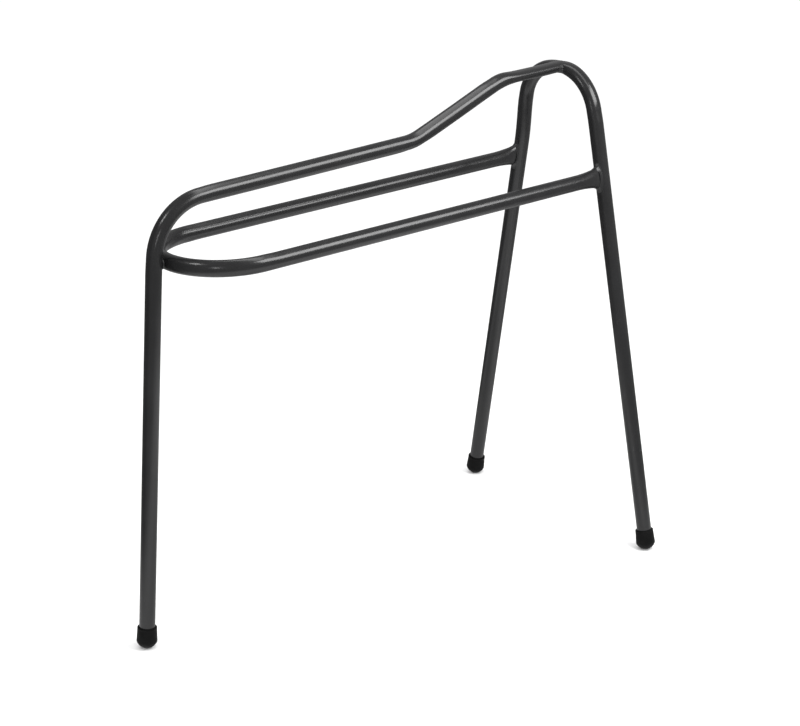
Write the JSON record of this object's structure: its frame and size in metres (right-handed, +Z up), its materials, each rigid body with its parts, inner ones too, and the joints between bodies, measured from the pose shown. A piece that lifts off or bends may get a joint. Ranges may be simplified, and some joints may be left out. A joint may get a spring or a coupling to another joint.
{
  "type": "saddle rack",
  "caption": "Free-standing tubular rack that holds one saddle: inverted-U front frame, bent spine running into a single rear leg, and a hairpin loop of side rails.",
  "frame": {"origin": "on the floor under the middle of the bounding box", "axes": "+X towards the inverted-U frame at the pommel end, +Y to the left across the rack, +Z up"},
  "size_m": [0.7152, 0.3822, 0.6509],
  "materials": {
    "tube_enamel": "gloss",
    "weld_enamel": "gloss",
    "foot_rubber": "satin"
  },
  "bodies": {
    "root": {"a_frame": "tube_enamel", "spine_and_rear_leg": "tube_enamel", "side_rail_loop": "tube_enamel", "crown_weld": "weld_enamel", "left_rail_weld": "weld_enamel", "right_rail_weld": "weld_enamel", "rear_loop_weld": "weld_enamel", "left_foot_cap": "foot_rubber", "right_foot_cap": "foot_rubber", "rear_foot_cap": "foot_rubber"}
  },
  "joints": []
}
